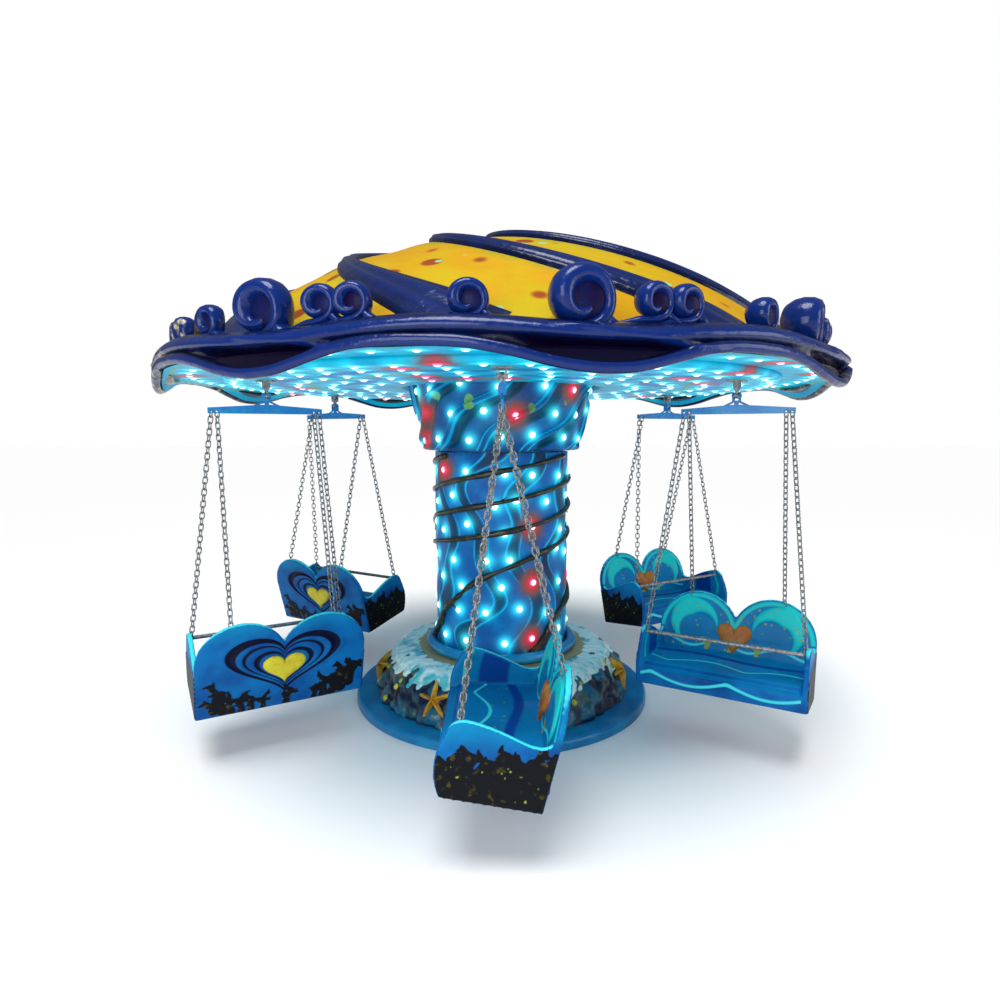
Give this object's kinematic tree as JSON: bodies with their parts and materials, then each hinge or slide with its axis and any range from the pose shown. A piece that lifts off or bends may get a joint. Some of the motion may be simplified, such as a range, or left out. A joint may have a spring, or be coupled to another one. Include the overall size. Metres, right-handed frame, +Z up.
{
  "type": "flying chair ride",
  "caption": "Flying chair fairground ride: a turning domed canopy with a wave-shaped rim on a round column, with double bench seats hung from it on chains.",
  "frame": {"origin": "centre of the floor plate's underside", "axes": "+Z up along the axis of rotation; -Y toward the front seat; the front seat faces -X"},
  "size_m": [3.71, 3.71, 2.685],
  "materials": {
    "deck_blue": "gloss",
    "rock_blue": "gloss",
    "starfish_yellow": "gloss",
    "column_blue": "gloss",
    "vine_brown": "satin",
    "steel": "satin",
    "frame_steel": "satin",
    "capital_blue": "gloss",
    "soffit_cyan": "gloss",
    "rim_navy": "gloss",
    "dome_yellow": "gloss",
    "beam_blue": "gloss",
    "chain_steel": "satin",
    "seat_blue": "gloss",
    "heart_yellow": "gloss"
  },
  "bodies": {
    "base": {"floor_plate": "deck_blue", "plinth": "rock_blue", "starfish": "starfish_yellow", "foot_ring": "deck_blue", "column": "column_blue", "vines": "vine_brown", "bearing": "steel"},
    "rotor": {"turning_frame": "frame_steel", "capital": "capital_blue", "soffit": "soffit_cyan", "wave_rim": "rim_navy", "big_curls": "rim_navy", "paired_curls": "rim_navy", "single_curls": "rim_navy", "dome": "dome_yellow", "dome_ribs": "rim_navy", "brackets": "steel"},
    "swivel_1": {"link_1": "steel"},
    "seat_1": {"beam_1": "beam_blue", "chains_1": "chain_steel", "shell_1": "seat_blue", "lap_bar_1": "steel", "hearts_1": "heart_yellow"},
    "swivel_2": {"link_2": "steel"},
    "seat_2": {"beam_2": "beam_blue", "chains_2": "chain_steel", "shell_2": "seat_blue", "lap_bar_2": "steel", "hearts_2": "heart_yellow"},
    "swivel_3": {"link_3": "steel"},
    "seat_3": {"beam_3": "beam_blue", "chains_3": "chain_steel", "shell_3": "seat_blue", "lap_bar_3": "steel", "hearts_3": "heart_yellow"},
    "swivel_4": {"link_4": "steel"},
    "seat_4": {"beam_4": "beam_blue", "chains_4": "chain_steel", "shell_4": "seat_blue", "lap_bar_4": "steel", "hearts_4": "heart_yellow"},
    "swivel_5": {"link_5": "steel"},
    "seat_5": {"beam_5": "beam_blue", "chains_5": "chain_steel", "shell_5": "seat_blue", "lap_bar_5": "steel", "hearts_5": "heart_yellow"},
    "swivel_6": {"link_6": "steel"},
    "seat_6": {"beam_6": "beam_blue", "chains_6": "chain_steel", "shell_6": "seat_blue", "lap_bar_6": "steel", "hearts_6": "heart_yellow"}
  },
  "joints": [
    {"name": "rotor_spin", "type": "hinge", "parent": "base", "child": "rotor", "pos_m": [0, 0, 1.485], "axis": [0, 0, 1], "continuous": true},
    {"name": "outswing_1", "type": "hinge", "parent": "rotor", "child": "swivel_1", "pos_m": [0, -1.35, 1.818], "axis": [-1, 0, 0], "range_deg": [-5, 20]},
    {"name": "foreswing_1", "type": "hinge", "parent": "swivel_1", "child": "seat_1", "pos_m": [0, -1.35, 1.775], "axis": [0, -1, 0], "range_deg": [-12, 12]},
    {"name": "outswing_2", "type": "hinge", "parent": "rotor", "child": "swivel_2", "pos_m": [1.16913, -0.675, 1.818], "axis": [-0.5, -0.866, 0], "range_deg": [-5, 20]},
    {"name": "foreswing_2", "type": "hinge", "parent": "swivel_2", "child": "seat_2", "pos_m": [1.16913, -0.675, 1.775], "axis": [0.866, -0.5, 0], "range_deg": [-12, 12]},
    {"name": "outswing_3", "type": "hinge", "parent": "rotor", "child": "swivel_3", "pos_m": [1.16913, 0.675, 1.818], "axis": [0.5, -0.866, 0], "range_deg": [-5, 20]},
    {"name": "foreswing_3", "type": "hinge", "parent": "swivel_3", "child": "seat_3", "pos_m": [1.16913, 0.675, 1.775], "axis": [0.866, 0.5, 0], "range_deg": [-12, 12]},
    {"name": "outswing_4", "type": "hinge", "parent": "rotor", "child": "swivel_4", "pos_m": [0, 1.35, 1.818], "axis": [1, 0, 0], "range_deg": [-5, 20]},
    {"name": "foreswing_4", "type": "hinge", "parent": "swivel_4", "child": "seat_4", "pos_m": [0, 1.35, 1.775], "axis": [0, 1, 0], "range_deg": [-12, 12]},
    {"name": "outswing_5", "type": "hinge", "parent": "rotor", "child": "swivel_5", "pos_m": [-1.16913, 0.675, 1.818], "axis": [0.5, 0.866, 0], "range_deg": [-5, 20]},
    {"name": "foreswing_5", "type": "hinge", "parent": "swivel_5", "child": "seat_5", "pos_m": [-1.16913, 0.675, 1.775], "axis": [-0.866, 0.5, 0], "range_deg": [-12, 12]},
    {"name": "outswing_6", "type": "hinge", "parent": "rotor", "child": "swivel_6", "pos_m": [-1.16913, -0.675, 1.818], "axis": [-0.5, 0.866, 0], "range_deg": [-5, 20]},
    {"name": "foreswing_6", "type": "hinge", "parent": "swivel_6", "child": "seat_6", "pos_m": [-1.16913, -0.675, 1.775], "axis": [-0.866, -0.5, 0], "range_deg": [-12, 12]}
  ]
}
